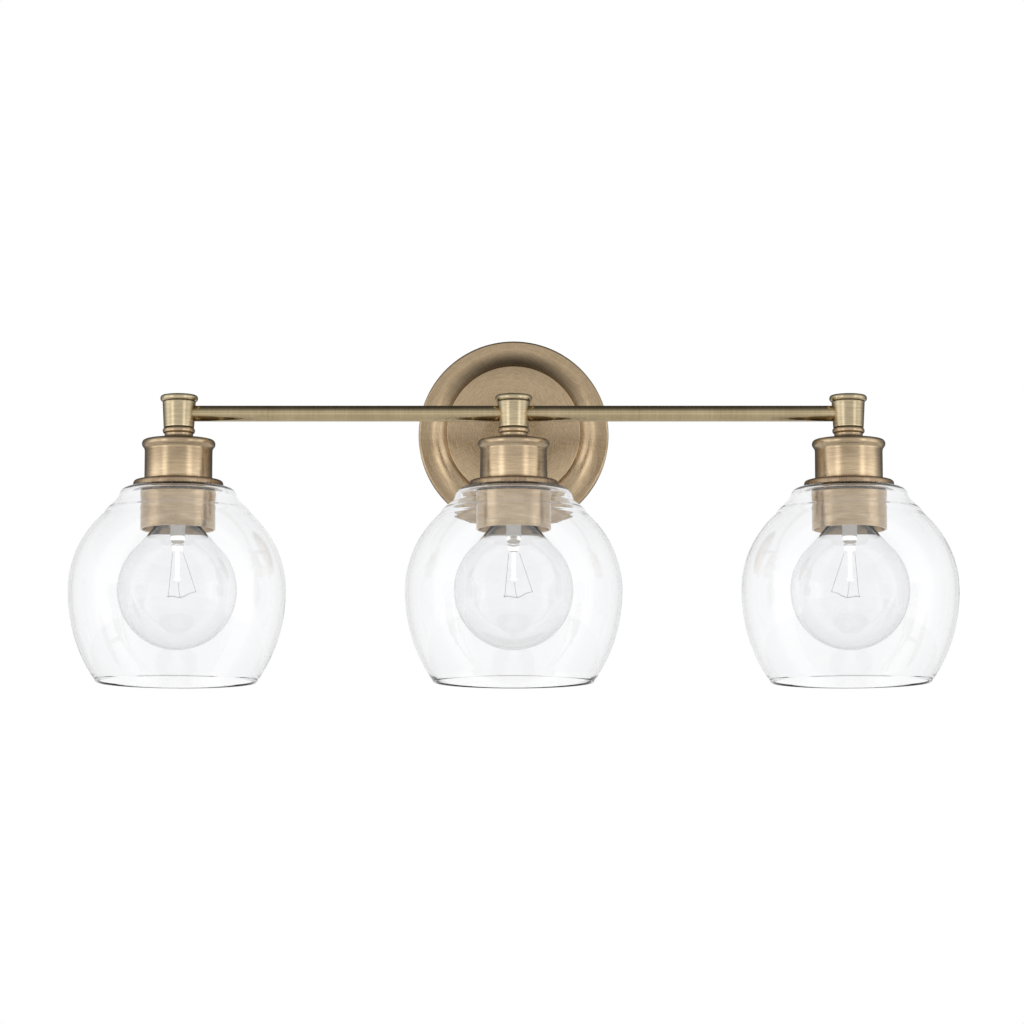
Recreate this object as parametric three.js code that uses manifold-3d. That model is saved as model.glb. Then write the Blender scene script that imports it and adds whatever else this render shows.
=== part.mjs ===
// A wall-mounted vanity light: a round canopy, a short arm, and a thin bar that carries
// three glass shades with globe bulbs. Millimetres, +X along the bar, +Y into the wall, +Z up.
// The origin is the middle of the back face of the wall strap, level with the bar.

import * as THREE from "three";
import { mergeVertices } from "three/addons/utils/BufferGeometryUtils.js";
import Module from "manifold-3d";

const wasm = await Module();
wasm.setup();

// ---- Driving dimensions -------------------------------------------------------------

const CLEARANCE = 0.3; // between two pieces that touch
const LAMP_SPACING = 222;
const LAMP_FORWARD = 106; // from the wall to the lamp axes
const TUBE_RADIUS = 5.25; // the bars and the arm
const TUBE_BORE = 4.25;
const TUBE_HOLE = TUBE_RADIUS + CLEARANCE;

const HUB = { top: 7.8, bottom: -9.35, topRadius: 11, bottomRadius: 10.1, bore: 7.2, floor: 3 };
const CAP = { radius: 12.5, height: 12.1, plug: 2.2, plugRadius: 6.8 };
const NECK = { radius: 9.4, bead: 10.7, beadHeight: 3.9, bottom: -15.7 };
const CUP = { radius: 22.4, top: -16, cove: -25, bottom: -44.8, shoulder: 16, wall: 1.2 };
CUP.bulge = CUP.radius + 1.9; // the rolled edge between the shoulder and the cove
CUP.bulgeZ = CUP.top - 4.5;
const FLANGE = { radius: 29.8, top: -45.1, bottom: -49.1 };
const SOCKET = { radius: 20, top: -19, threadEnd: -60.5, mouth: -69, seat: -43, web: -34, bore: 14.3 };
const SHELL = { radius: 13.9, thick: 0.5, top: -44.2, bottom: -66, hole: 6 };
const NIPPLE = { radius: 4.9, bore: 3.2, top: -5, bottom: -24.5 };
const NIPPLE_HOLE = NIPPLE.radius + CLEARANCE;
const COLLAR = { radius: 24.75, bore: 20.6, skirtBore: 23.5, top: -52.6, threadEnd: -59.5, bottom: -77.5 };

// The shade's bowl is an ellipse above its widest line and a longer one below it.
const SHADE = { radius: 71.75, upper: 69.2, lower: 89, wide: -117.9, top: -49.4, plate: 2.9, wall: 2.5 };
const SHADE_HOLE = 21.3;
const SHADE_NECK = -60; // where the shoulder meets the bowl
const SHADE_RIM = -178.7;

// The bulb is a ball that runs into a straight cone at `coneAngle` above its widest line.
const BULB = { radius: 39.5, centre: -117.8, wall: 0.8, coneAngle: 42, coneTop: -72.6 };
const BULB_NECK = { radius: 11.9, top: -69.5 };
const BASE = { radius: 13.1, tip: -45.2, roof: -53, shoulder: -50.8, bottom: -71, bore: 12.4 };
const STEM = { radius: 5, top: -69.7, flare: 10.4, flareStart: -74 };
const PINCH = { radius: 3.9, bottom: -91.5 };
const BUTTON = { radius: 3, bottom: -111.7 };
const ARBOR_RADIUS = 1.65; // the rod under the pinch
const FILAMENT_RADIUS = 0.6;

// A bulb's wires from the pinch and back to it: a lead, the filament and the other lead.
const FILAMENT_ROUTE = [
  [-3.3, -93.4],
  [-4.5, -104],
  [-5.6, -119.8],
  [-4, -122.1],
  [2.4, -123.2],
  [8.1, -120.6],
  [12.4, -118.8],
  [11, -113],
  [7.2, -103],
  [3.8, -93.4],
];

const CANOPY = { radius: 65.5, disc: 45.8, depth: 21, rim: 6.2, wall: 1.2, back: 0.5 };
const CANOPY_LIP = 1.6; // how far the rounded lip rises from the rim
const STRAP = { length: 127.2, width: 24, thick: 1.6, tab: 6, tabWidth: 12, slot: 13, slotWidth: 5 };
const GROUND_X = -20; // the ground screw's place on the strap
const BOX_SCREW_X = 44.5; // half of the 89 mm spacing of a junction box's screws
const SIDE_SCREW = { radius: 1.5, depth: 3.4, inner: 59, outer: 65.3 };
const WASHER = { radius: 10, sides: 16, thick: 1.5 };
const NUT = { radius: 9, sides: 6, thick: 4 };
const BOX_SCREW = { shank: 2.1, head: 4 };
const GROUND_SCREW = { shank: 1.8, head: 3.6 };
const ARM_END = 8; // how far the arm stops in front of the wall
const WIRE_RADIUS = 0.9;
const WIRE_END = 3; // how far the wires stop in front of the wall
const HOT = { y: -1.5, z: 1.3 }; // the hot wire beside the tubes' middle line
const NEUTRAL = { y: 1.5, z: -1.3 };
const NEUTRAL_HOLE = 7.2; // the neutral wire's hole in the socket, off the lamp axis

const LAMPS = [
  { name: "left", x: -LAMP_SPACING },
  { name: "middle", x: 0 },
  { name: "right", x: LAMP_SPACING },
];

const MATERIALS = {
  brass: { color: 0xc4ab80, roughness: 0.35, metalness: 1 },
  glass: { color: 0xdfe8ea, roughness: 0.05, metalness: 0 },
  ceramic: { color: 0x4a4640, roughness: 0.6, metalness: 0 },
  steel: { color: 0xb8babb, roughness: 0.4, metalness: 1 },
  nickel: { color: 0xc9c5ba, roughness: 0.25, metalness: 1 },
  copper: { color: 0xb87345, roughness: 0.3, metalness: 1 },
  black: { color: 0x1c1c1c, roughness: 0.7, metalness: 0 },
  white: { color: 0xe8e6e0, roughness: 0.7, metalness: 0 },
};

// ---- Helpers ------------------------------------------------------------------------

function named(name, geometry, material) {
  const mesh = new THREE.Mesh(geometry, new THREE.MeshStandardMaterial(MATERIALS[material]));
  mesh.name = name;
  return mesh;
}

// A profile of [radius, height] pairs turned about Z. It runs up the outside and down the
// inside; one that doesn't start on the axis is closed into a ring.
function revolved(profile, sides) {
  const points = profile.map(([radius, height]) => new THREE.Vector2(radius, height));
  if (points[0].x > 0) points.push(points[0].clone());
  return new THREE.LatheGeometry(points, sides).rotateX(Math.PI / 2);
}

// Points on an arc of an ellipse, from one angle to another in degrees.
function arc(radiusR, radiusZ, centreR, centreZ, from, to, steps) {
  return Array.from({ length: steps + 1 }, (_, i) => {
    const angle = THREE.MathUtils.degToRad(from + ((to - from) * i) / steps);
    return [centreR + radiusR * Math.cos(angle), centreZ + radiusZ * Math.sin(angle)];
  });
}

function tube(radius, bore, length, sides) {
  return revolved([[bore, 0], [radius, 0], [radius, length], [bore, length]], sides);
}

// A round rod between two points, which runs past both of them by `extra`.
function rod(radius, from, to, sides, extra = 0) {
  const start = new THREE.Vector3(...from);
  const along = new THREE.Vector3(...to).sub(start);
  const length = along.length();
  const turn = new THREE.Quaternion().setFromUnitVectors(
    new THREE.Vector3(0, 1, 0),
    along.clone().normalize(),
  );
  const middle = start.addScaledVector(along, 0.5);
  return new THREE.CylinderGeometry(radius, radius, length + 2 * extra, sides)
    .applyQuaternion(turn)
    .translate(middle.x, middle.y, middle.z);
}

function toSolid(geometry) {
  const bare = geometry.clone();
  bare.deleteAttribute("normal");
  bare.deleteAttribute("uv");
  const merged = mergeVertices(bare, 1e-3);
  return new wasm.Manifold(
    new wasm.Mesh({
      numProp: 3,
      vertProperties: merged.attributes.position.array,
      triVerts: new Uint32Array(merged.index.array),
    }),
  );
}

function toGeometry(solid) {
  const mesh = solid.getMesh();
  return new THREE.BufferGeometry()
    .setAttribute("position", new THREE.BufferAttribute(mesh.vertProperties, 3))
    .setIndex(new THREE.BufferAttribute(mesh.triVerts, 1));
}

function joined(...geometries) {
  return toGeometry(geometries.map(toSolid).reduce((whole, next) => whole.add(next)));
}

function drilled(geometry, ...holes) {
  return toGeometry(
    holes.map(toSolid).reduce((whole, hole) => whole.subtract(hole), toSolid(geometry)),
  );
}

// ---- One lamp -----------------------------------------------------------------------

// The drum at the end of a bar, with a side hole for each tube that enters it.
function hub(directions) {
  const drum = revolved(
    [
      [NIPPLE_HOLE, HUB.bottom],
      [HUB.bottomRadius, HUB.bottom],
      [HUB.topRadius, HUB.top],
      [HUB.bore, HUB.top],
      [HUB.bore, HUB.bottom + HUB.floor],
      [NIPPLE_HOLE, HUB.bottom + HUB.floor],
    ],
    16,
  );
  const reach = HUB.topRadius + 2;
  const holes = directions.map(([x, y]) => rod(TUBE_HOLE, [0, 0, 0], [x * reach, y * reach, 0], 12));
  return drilled(drum, ...holes);
}

function hubCap() {
  const under = HUB.top + CLEARANCE;
  return revolved(
    [
      [0, under - CAP.plug],
      [CAP.plugRadius, under - CAP.plug],
      [CAP.plugRadius, under],
      [CAP.radius - 0.7, under],
      [CAP.radius, under + 0.9],
      [CAP.radius, CAP.height - 0.9],
      [CAP.radius - 0.7, CAP.height],
      [0, CAP.height],
    ],
    16,
  );
}

function neckRing() {
  const top = HUB.bottom - CLEARANCE;
  return revolved(
    [
      [NIPPLE_HOLE, NECK.bottom],
      [NECK.radius + 0.5, NECK.bottom],
      [NECK.radius, NECK.bottom + 0.7],
      [NECK.radius, top - NECK.beadHeight],
      [NECK.bead, top - NECK.beadHeight + 1],
      [NECK.bead, top - 0.9],
      [NECK.bead - 0.6, top],
      [NIPPLE_HOLE, top],
    ],
    12,
  );
}

// The cup over the socket: a shallow shoulder, a rolled bulge, a cove and a straight body.
function socketCup() {
  const outside = [
    [CUP.radius, CUP.bottom],
    [CUP.radius, CUP.cove],
    [CUP.radius + 0.6, CUP.cove + 1.5],
    [CUP.bulge - 0.3, CUP.bulgeZ - 1.5],
    [CUP.bulge, CUP.bulgeZ],
    [CUP.bulge - 0.8, CUP.bulgeZ + 1.6],
    [CUP.bulge - 2.8, CUP.bulgeZ + 2.6],
    [CUP.shoulder, CUP.top - 1],
    [NECK.radius + 0.6, CUP.top],
    [NIPPLE_HOLE, CUP.top],
  ];
  const inside = [
    [NIPPLE_HOLE, CUP.top - CUP.wall],
    [NECK.radius + 0.4, CUP.top - CUP.wall],
    [CUP.shoulder, CUP.top - 1 - CUP.wall],
    [CUP.bulge - 3.2, CUP.bulgeZ + 1.4],
    [CUP.bulge - CUP.wall, CUP.bulgeZ],
    [CUP.radius - CUP.wall, CUP.cove + 0.4],
    [CUP.radius - CUP.wall, CUP.bottom],
  ];
  return revolved([...outside, ...inside], 16);
}

function shadeFlange() {
  const bore = SOCKET.radius + 0.4;
  return tube(FLANGE.radius, bore, FLANGE.top - FLANGE.bottom, 20).translate(0, 0, FLANGE.bottom);
}

// The insulator: threaded outside for the collar, with a wiring space above the lamp bore.
function socketBody() {
  const space = 9;
  const hotHole = 2.7;
  const neutralHole = rod(1.3, [0, NEUTRAL_HOLE, SOCKET.web], [0, NEUTRAL_HOLE, SOCKET.seat], 8, 1);
  const body = revolved(
    [
      [SOCKET.bore, SOCKET.mouth],
      [SOCKET.radius - 2.5, SOCKET.mouth],
      [SOCKET.radius - 2.5, SOCKET.threadEnd - 0.8],
      [SOCKET.radius, SOCKET.threadEnd],
      [SOCKET.radius, SOCKET.top - 5],
      [SOCKET.radius - 2.5, SOCKET.top - 1.5],
      [SOCKET.radius - 6, SOCKET.top],
      [NIPPLE_HOLE, SOCKET.top],
      [NIPPLE_HOLE, NIPPLE.bottom - 0.5],
      [space, NIPPLE.bottom - 2.5],
      [space, SOCKET.web],
      [hotHole, SOCKET.web],
      [hotHole, SOCKET.seat],
      [SOCKET.bore, SOCKET.seat],
    ],
    12,
  );
  return drilled(body, neutralHole);
}

function screwShell() {
  const { radius, thick, top, bottom, hole } = SHELL;
  return revolved(
    [
      [radius - thick, bottom],
      [radius, bottom],
      [radius, top],
      [hole, top],
      [hole, top - thick],
      [radius - thick, top - thick],
    ],
    12,
  );
}

function centreContact() {
  const top = SOCKET.seat - CLEARANCE;
  const tip = BASE.tip + CLEARANCE;
  return revolved([[0, tip], [2.2, tip], [4, top - 0.6], [4, top], [0, top]], 8);
}

function nipple() {
  return tube(NIPPLE.radius, NIPPLE.bore, NIPPLE.top - NIPPLE.bottom, 8).translate(0, 0, NIPPLE.bottom);
}

function collar() {
  return revolved(
    [
      [COLLAR.skirtBore, COLLAR.bottom],
      [COLLAR.radius, COLLAR.bottom],
      [COLLAR.radius, COLLAR.top - 0.6],
      [COLLAR.radius - 0.6, COLLAR.top],
      [COLLAR.bore, COLLAR.top],
      [COLLAR.bore, COLLAR.threadEnd],
      [COLLAR.skirtBore, COLLAR.threadEnd - 2],
    ],
    20,
  );
}

// One face of the shade's bowl, from the rim up to the neck, set in by `inset`.
function bowl(inset, neck, steps) {
  const wide = SHADE.radius - inset;
  const low = SHADE.lower - inset;
  const high = SHADE.upper - inset;
  const rimAngle = THREE.MathUtils.radToDeg(Math.asin((SHADE_RIM - SHADE.wide) / low));
  const neckAngle = THREE.MathUtils.radToDeg(Math.asin((neck - SHADE.wide) / high));
  return [
    ...arc(wide, low, 0, SHADE.wide, rimAngle, 0, steps - 1).slice(0, -1),
    ...arc(wide, high, 0, SHADE.wide, 0, neckAngle, steps),
  ];
}

function shade() {
  const outside = [
    ...bowl(0, SHADE_NECK, 4),
    [39, SHADE_NECK + 2.4],
    [38.7, SHADE_NECK + 5.2],
    [36.8, SHADE.top - 1.8],
    [33.2, SHADE.top - 0.2],
    [SHADE_HOLE, SHADE.top],
  ];
  const under = SHADE.top - SHADE.plate;
  const inside = [
    [SHADE_HOLE, under],
    [33, under],
    [35.8, under - 1.9],
    [36.3, SHADE_NECK + 1.8],
    ...bowl(SHADE.wall, SHADE_NECK - 1.2, 3).reverse(),
  ];
  return revolved([...outside, ...inside], 24);
}

// One face of the bulb's ball, from its bottom up to the cone.
function ball(radius) {
  return [
    ...arc(radius, radius, 0, BULB.centre, -90, 0, 4).slice(0, -1),
    ...arc(radius, radius, 0, BULB.centre, 0, BULB.coneAngle, 2),
  ];
}

function bulbEnvelope() {
  const outside = [
    ...ball(BULB.radius),
    [BULB_NECK.radius + 1.3, BULB.coneTop],
    [BULB_NECK.radius + 0.8, BASE.bottom - 0.6],
    [BULB_NECK.radius, BASE.bottom - CLEARANCE],
    [BULB_NECK.radius, BULB_NECK.top],
  ];
  const inside = [
    [BULB_NECK.radius - BULB.wall, BULB_NECK.top],
    [BULB_NECK.radius - BULB.wall, BASE.bottom],
    [BULB_NECK.radius + 0.8, BULB.coneTop - 0.9],
    ...ball(BULB.radius - BULB.wall).reverse(),
  ];
  return revolved([...outside, ...inside], 16);
}

// The screw base, hollow over the bulb's neck.
function bulbBase() {
  return revolved(
    [
      [0, BASE.roof],
      [BASE.bore, BASE.roof],
      [BASE.bore, BASE.bottom],
      [BASE.radius - 0.2, BASE.bottom],
      [BASE.radius - 0.4, BASE.bottom + 2.5],
      [BASE.radius, BASE.bottom + 4.5],
      [BASE.radius, BASE.shoulder],
      [9, BASE.shoulder + 2.4],
      [3.4, BASE.tip - 1.2],
      [2.2, BASE.tip],
      [0, BASE.tip],
    ],
    12,
  );
}

// The glass stem with its flare, its pinch, and the rod that ends in a button.
function bulbStem() {
  return revolved(
    [
      [0, BUTTON.bottom],
      [BUTTON.radius, BUTTON.bottom + 0.4],
      [BUTTON.radius, BUTTON.bottom + 1.6],
      [ARBOR_RADIUS, BUTTON.bottom + 2],
      [ARBOR_RADIUS, PINCH.bottom - 1],
      [PINCH.radius, PINCH.bottom],
      [PINCH.radius, PINCH.bottom + 3.5],
      [STEM.radius, PINCH.bottom + 6],
      [STEM.radius, STEM.flareStart],
      [STEM.flare, STEM.top - 1.3],
      [STEM.flare, STEM.top],
      [0, STEM.top],
    ],
    8,
  );
}

// Two lead wires from the pinch with the filament slung between their ends.
function bulbFilament(mirror) {
  const route = FILAMENT_ROUTE.map(([x, z]) => new THREE.Vector3(mirror * x, 0, z));
  const path = new THREE.CatmullRomCurve3(route, false, "centripetal");
  const section = new THREE.Shape();
  section.absarc(0, 0, FILAMENT_RADIUS, 0, 2 * Math.PI, false);
  return new THREE.ExtrudeGeometry(section, {
    extrudePath: path,
    steps: 14,
    curveSegments: 3,
    bevelEnabled: false,
  });
}

// The tubes that enter each lamp's hub, as directions in the level plane.
const TUBE_DIRECTIONS = {
  left: [[1, 0]],
  middle: [[-1, 0], [1, 0], [0, 1]],
  right: [[-1, 0]],
};

function lamp({ name, x }) {
  const group = new THREE.Group();
  group.position.set(x, -LAMP_FORWARD, 0);
  group.add(
    named(`hub_${name}`, hub(TUBE_DIRECTIONS[name]), "brass"),
    named(`hub_cap_${name}`, hubCap(), "brass"),
    named(`neck_ring_${name}`, neckRing(), "brass"),
    named(`socket_cup_${name}`, socketCup(), "brass"),
    named(`shade_flange_${name}`, shadeFlange(), "brass"),
    named(`socket_body_${name}`, socketBody(), "ceramic"),
    named(`screw_shell_${name}`, screwShell(), "nickel"),
    named(`centre_contact_${name}`, centreContact(), "copper"),
    named(`nipple_${name}`, nipple(), "steel"),
    named(`shade_${name}`, shade(), "glass"),
    named(`collar_${name}`, collar(), "brass"),
    named(`bulb_envelope_${name}`, bulbEnvelope(), "glass"),
    named(`bulb_base_${name}`, bulbBase(), "nickel"),
    named(`bulb_stem_${name}`, bulbStem(), "glass"),
    named(`bulb_filament_${name}`, bulbFilament(name === "right" ? -1 : 1), "nickel"),
  );
  return group;
}

// ---- The bar and the arm ------------------------------------------------------------

const TUBE_END = HUB.bore + 0.2; // a tube ends inside a hub's wall, this far from its axis

function bar(name, from) {
  const length = LAMP_SPACING - 2 * TUBE_END;
  const mesh = named(name, tube(TUBE_RADIUS, TUBE_BORE, length, 12), "brass");
  mesh.position.set(from + TUBE_END, -LAMP_FORWARD, 0);
  mesh.rotation.y = Math.PI / 2;
  return mesh;
}

function arm() {
  const length = LAMP_FORWARD - TUBE_END - ARM_END;
  const mesh = named("arm_tube", tube(TUBE_RADIUS, TUBE_BORE, length, 12), "brass");
  mesh.position.set(0, -ARM_END, 0);
  mesh.rotation.x = Math.PI / 2;
  return mesh;
}

// ---- The canopy and what is behind it -----------------------------------------------

// Heights in this profile are distances from the wall.
function canopy() {
  const { radius, disc, depth, rim, wall, back } = CANOPY;
  const lip = CANOPY_LIP;
  const coveStart = radius - 4;
  const coveWidth = coveStart - disc;
  const coveRise = depth - 0.9 - rim - lip;
  const cove = arc(coveWidth, coveRise, coveStart, rim + lip + coveRise, -90, -180, 4);
  const outside = [
    [radius, back],
    [radius, rim],
    [radius - 0.5, rim + 1.1],
    [radius - 1.6, rim + lip],
    ...cove,
    [disc - 0.6, depth],
    [TUBE_HOLE, depth],
  ];
  const innerCove = arc(coveWidth, coveRise, coveStart - wall, rim + lip + coveRise - wall, -180, -90, 3);
  const inside = [
    [TUBE_HOLE, depth - wall],
    [disc - wall, depth - wall],
    ...innerCove,
    [radius - wall, rim + lip - wall],
    [radius - wall, back],
  ];
  const shell = revolved([...outside, ...inside], 28);
  shell.rotateX(Math.PI / 2);
  const screwHoles = [-1, 1].map((side) => sideHole(side, radius - 6));
  return named("canopy", drilled(shell, ...screwHoles), "brass");
}

function box(width, depth, height, x, y, z) {
  return new THREE.BoxGeometry(width, depth, height).translate(x, y, z);
}

// A flat steel bar with a slot for each box screw and a tab at each end for a side screw.
function wallStrap() {
  const { length, width, thick, tab, tabWidth, slot, slotWidth } = STRAP;
  const plate = box(length, thick, tabWidth, 0, -thick / 2, 0);
  const middle = box(length - 14, thick, width, 0, -thick / 2, 0);
  const tabs = [-1, 1].map((side) =>
    box(thick, tab, tabWidth, (side * (length - thick)) / 2, -tab / 2, 0),
  );
  const slotX = BOX_SCREW_X - slotWidth / 2;
  const slots = [-1, 1].map((side) => box(slot, 4 * thick, slotWidth, side * slotX, 0, 0));
  const sideHoles = [-1, 1].map((side) => sideHole(side, SIDE_SCREW.inner - 1));
  const groundHole = rod(2.1, [GROUND_X, -2 * thick, 0], [GROUND_X, thick, 0], 10);
  const blank = joined(plate, middle, ...tabs);
  return named("wall_strap", drilled(blank, ...slots, ...sideHoles, groundHole), "steel");
}

// The hole for a side screw, from `inner` out past the canopy's rim.
function sideHole(side, inner) {
  return rod(
    SIDE_SCREW.radius + CLEARANCE,
    [side * inner, -SIDE_SCREW.depth, 0],
    [side * (CANOPY.radius + 3), -SIDE_SCREW.depth, 0],
    10,
  );
}

function sideScrew(name, side) {
  const from = [side * SIDE_SCREW.inner, -SIDE_SCREW.depth, 0];
  const to = [side * SIDE_SCREW.outer, -SIDE_SCREW.depth, 0];
  return named(name, rod(SIDE_SCREW.radius, from, to, 8), "steel");
}

// A round-headed screw through the strap, from just off the wall.
function strapScrew(name, x, { shank, head }, material) {
  const tip = 0.2;
  const face = STRAP.thick + CLEARANCE;
  const screw = revolved(
    [
      [0, tip],
      [shank, tip],
      [shank, face],
      [head, face],
      [head, face + 1.2],
      [head * 0.6, face + 2.2],
      [0, face + 2.3],
    ],
    8,
  );
  return named(name, screw.rotateX(Math.PI / 2).translate(x, 0, 0), material);
}

// A ring around the arm behind the canopy, `back` in front of the wall.
function armRing(name, { radius, sides, thick }, back) {
  const blank = rod(radius, [0, -back, 0], [0, -back - thick, 0], sides);
  const hole = rod(TUBE_HOLE, [0, -back, 0], [0, -back - thick, 0], 12, 1);
  return named(name, drilled(blank, hole), "steel");
}

// ---- Wiring -------------------------------------------------------------------------

function wire(runs) {
  return joined(...runs.map(([from, to]) => rod(WIRE_RADIUS, from, to, 6, WIRE_RADIUS)));
}

function lampWire(name, { y, z }, drop, material) {
  const level = y - LAMP_FORWARD;
  const along = [[-LAMP_SPACING, level, z], [LAMP_SPACING, level, z]];
  const toWall = [[y, level, z], [y, -WIRE_END - WIRE_RADIUS, z]];
  const drops = LAMPS.flatMap(({ x }) =>
    drop.map(([from, to]) => [
      [x, from[0] - LAMP_FORWARD, from[1]],
      [x, to[0] - LAMP_FORWARD, to[1]],
    ]),
  );
  return named(name, wire([along, toWall, ...drops]), material);
}

// Each lamp's stretch of a wire, as runs between [y, z] points beside the lamp axis.
function hotDrop() {
  return [[[HOT.y, HOT.z], [HOT.y, SOCKET.seat + WIRE_RADIUS]]];
}

function neutralDrop() {
  const turn = SOCKET.web + 3.5;
  const end = SHELL.top + CLEARANCE + WIRE_RADIUS;
  return [
    [[NEUTRAL.y, NEUTRAL.z], [NEUTRAL.y, turn]],
    [[NEUTRAL.y, turn], [NEUTRAL_HOLE, turn]],
    [[NEUTRAL_HOLE, turn], [NEUTRAL_HOLE, end]],
  ];
}

function groundWire() {
  const screwTop = -5.6;
  const bend = -13;
  const nearArm = -11.5;
  return wire([
    [[GROUND_X, screwTop, 0], [GROUND_X, bend, 0]],
    [[GROUND_X, bend, 0], [nearArm, bend, 0]],
  ]);
}

// ---- Assembly -----------------------------------------------------------------------

const lightBar = new THREE.Group();
const washerBack = CANOPY.depth - CANOPY.wall - CLEARANCE - WASHER.thick;
const nutBack = washerBack - CLEARANCE - NUT.thick;
lightBar.add(
  ...LAMPS.map(lamp),
  bar("bar_left", -LAMP_SPACING),
  bar("bar_right", 0),
  arm(),
  canopy(),
  wallStrap(),
  armRing("arm_washer", WASHER, washerBack),
  armRing("arm_nut", NUT, nutBack),
  sideScrew("canopy_screw_left", -1),
  sideScrew("canopy_screw_right", 1),
  strapScrew("box_screw_left", -BOX_SCREW_X, BOX_SCREW, "steel"),
  strapScrew("box_screw_right", BOX_SCREW_X, BOX_SCREW, "steel"),
  strapScrew("ground_screw", GROUND_X, GROUND_SCREW, "copper"),
  lampWire("wire_hot", HOT, hotDrop(), "black"),
  lampWire("wire_neutral", NEUTRAL, neutralDrop(), "white"),
  named("wire_ground", groundWire(), "copper"),
);

export default lightBar;
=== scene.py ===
"""A wall-mounted vanity light with three clear glass shades: its visible pieces and finishes, made on
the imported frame. Places are in metres, in the frame's own axes. Profiles are in millimetres: the radius
from the piece's axis, and the height along it.
"""

import math

import bpy
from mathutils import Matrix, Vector


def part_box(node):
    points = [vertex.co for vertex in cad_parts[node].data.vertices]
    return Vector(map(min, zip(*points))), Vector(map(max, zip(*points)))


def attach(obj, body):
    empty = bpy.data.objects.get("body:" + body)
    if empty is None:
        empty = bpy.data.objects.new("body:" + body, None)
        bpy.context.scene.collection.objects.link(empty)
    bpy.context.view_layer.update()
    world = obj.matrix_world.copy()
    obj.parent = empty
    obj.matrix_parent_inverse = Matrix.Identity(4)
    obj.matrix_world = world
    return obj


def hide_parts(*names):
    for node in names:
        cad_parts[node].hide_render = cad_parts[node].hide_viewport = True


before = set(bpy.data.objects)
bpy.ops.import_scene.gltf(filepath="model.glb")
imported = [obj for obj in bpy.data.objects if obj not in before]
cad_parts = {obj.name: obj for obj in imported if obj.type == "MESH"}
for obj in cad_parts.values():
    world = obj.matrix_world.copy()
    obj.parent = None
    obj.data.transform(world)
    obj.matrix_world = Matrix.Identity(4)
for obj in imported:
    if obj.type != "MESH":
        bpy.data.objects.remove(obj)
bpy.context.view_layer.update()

MM = 0.001
X, Y, Z = Vector((1, 0, 0)), Vector((0, 1, 0)), Vector((0, 0, 1))
LAMPS = ("left", "middle", "right")
FIXTURE = "fixture"

# In millimetres.
WIRE_HOLE = 5.2  # the radius of the way for the wires, through the hub, neck, cup and socket
COLLAR_PITCH = 2  # the thread between the collar and the socket
COLLAR_THREAD = 0.5  # how deep that thread is cut into the socket
BULB_PITCH = 3.63
NIPPLE_PITCH = 1.2
GLASS_WALL = 2.5
BULB_WALL = 0.8


# ---- Sizes read from the frame ---------------------------------------------------------


def middle_of(node):
    low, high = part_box(node)
    return (low + high) / 2


def lamp_axis(lamp):
    """The point on a lamp's axis at the height of the bar."""
    centre = middle_of(f"hub_{lamp}")
    return Vector((centre.x, centre.y, 0))


def turned_size(node):
    """Radius, lowest and highest point of an upright turned node, in millimetres."""
    low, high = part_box(node)
    return (high.x - low.x) / 2 / MM, low.z / MM, high.z / MM


# ---- Modelling ---------------------------------------------------------------------------


def start_fresh():
    bpy.ops.object.select_all(action="DESELECT")


def apply_modifier(piece, kind, **settings):
    bpy.context.view_layer.objects.active = piece
    bpy.ops.object.modifier_add(type=kind)
    modifier = piece.modifiers[-1]
    for key, value in settings.items():
        setattr(modifier, key, value)
    bpy.ops.object.modifier_apply(modifier=modifier.name)


def round_edges(piece, width, segments=2, angle=32):
    """Rounds the edges that are sharper than an angle; the width is in millimetres."""
    apply_modifier(
        piece,
        "BEVEL",
        width=width * MM,
        segments=segments,
        limit_method="ANGLE",
        angle_limit=math.radians(angle),
    )


def settle(piece, name, smooth=40):
    """Names a piece, puts its place into its mesh and smooths it."""
    start_fresh()
    piece.select_set(True)
    bpy.context.view_layer.objects.active = piece
    bpy.ops.object.transform_apply(location=True, rotation=True, scale=True)
    bpy.ops.object.shade_smooth_by_angle(angle=math.radians(smooth))
    piece.name = name
    piece.data.name = name
    return piece


def arc(centre, radii, start, end, steps):
    """Points on an ellipse round a centre, from one angle to another in degrees."""
    angles = [math.radians(start + (end - start) * i / steps) for i in range(steps + 1)]
    return [(centre[0] + radii[0] * math.cos(a), centre[1] + radii[1] * math.sin(a)) for a in angles]


def sweep(start, lead_out, lead_in, end, steps=8):
    """Points on a smooth curve that leaves its start towards one handle and arrives from another."""
    points = []
    for i in range(steps + 1):
        t = i / steps
        shares = ((1 - t) ** 3, 3 * t * (1 - t) ** 2, 3 * t * t * (1 - t), t**3)
        handles = (start, lead_out, lead_in, end)
        points.append(tuple(sum(s * h[k] for s, h in zip(shares, handles)) for k in (0, 1)))
    return points


def through(points, steps=4):
    """Points on a smooth curve that passes through each of the given ones."""
    padded = [points[0], *points, points[-1]]
    curve = []
    for before, here, there, after in zip(padded, padded[1:], padded[2:], padded[3:]):
        handles = [
            (here[k] + (there[k] - before[k]) / 6, there[k] - (after[k] - here[k]) / 6) for k in (0, 1)
        ]
        leave, arrive = zip(*handles)
        curve += sweep(here, leave, arrive, there, steps)[:-1]
    return [*curve, points[-1]]


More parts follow.
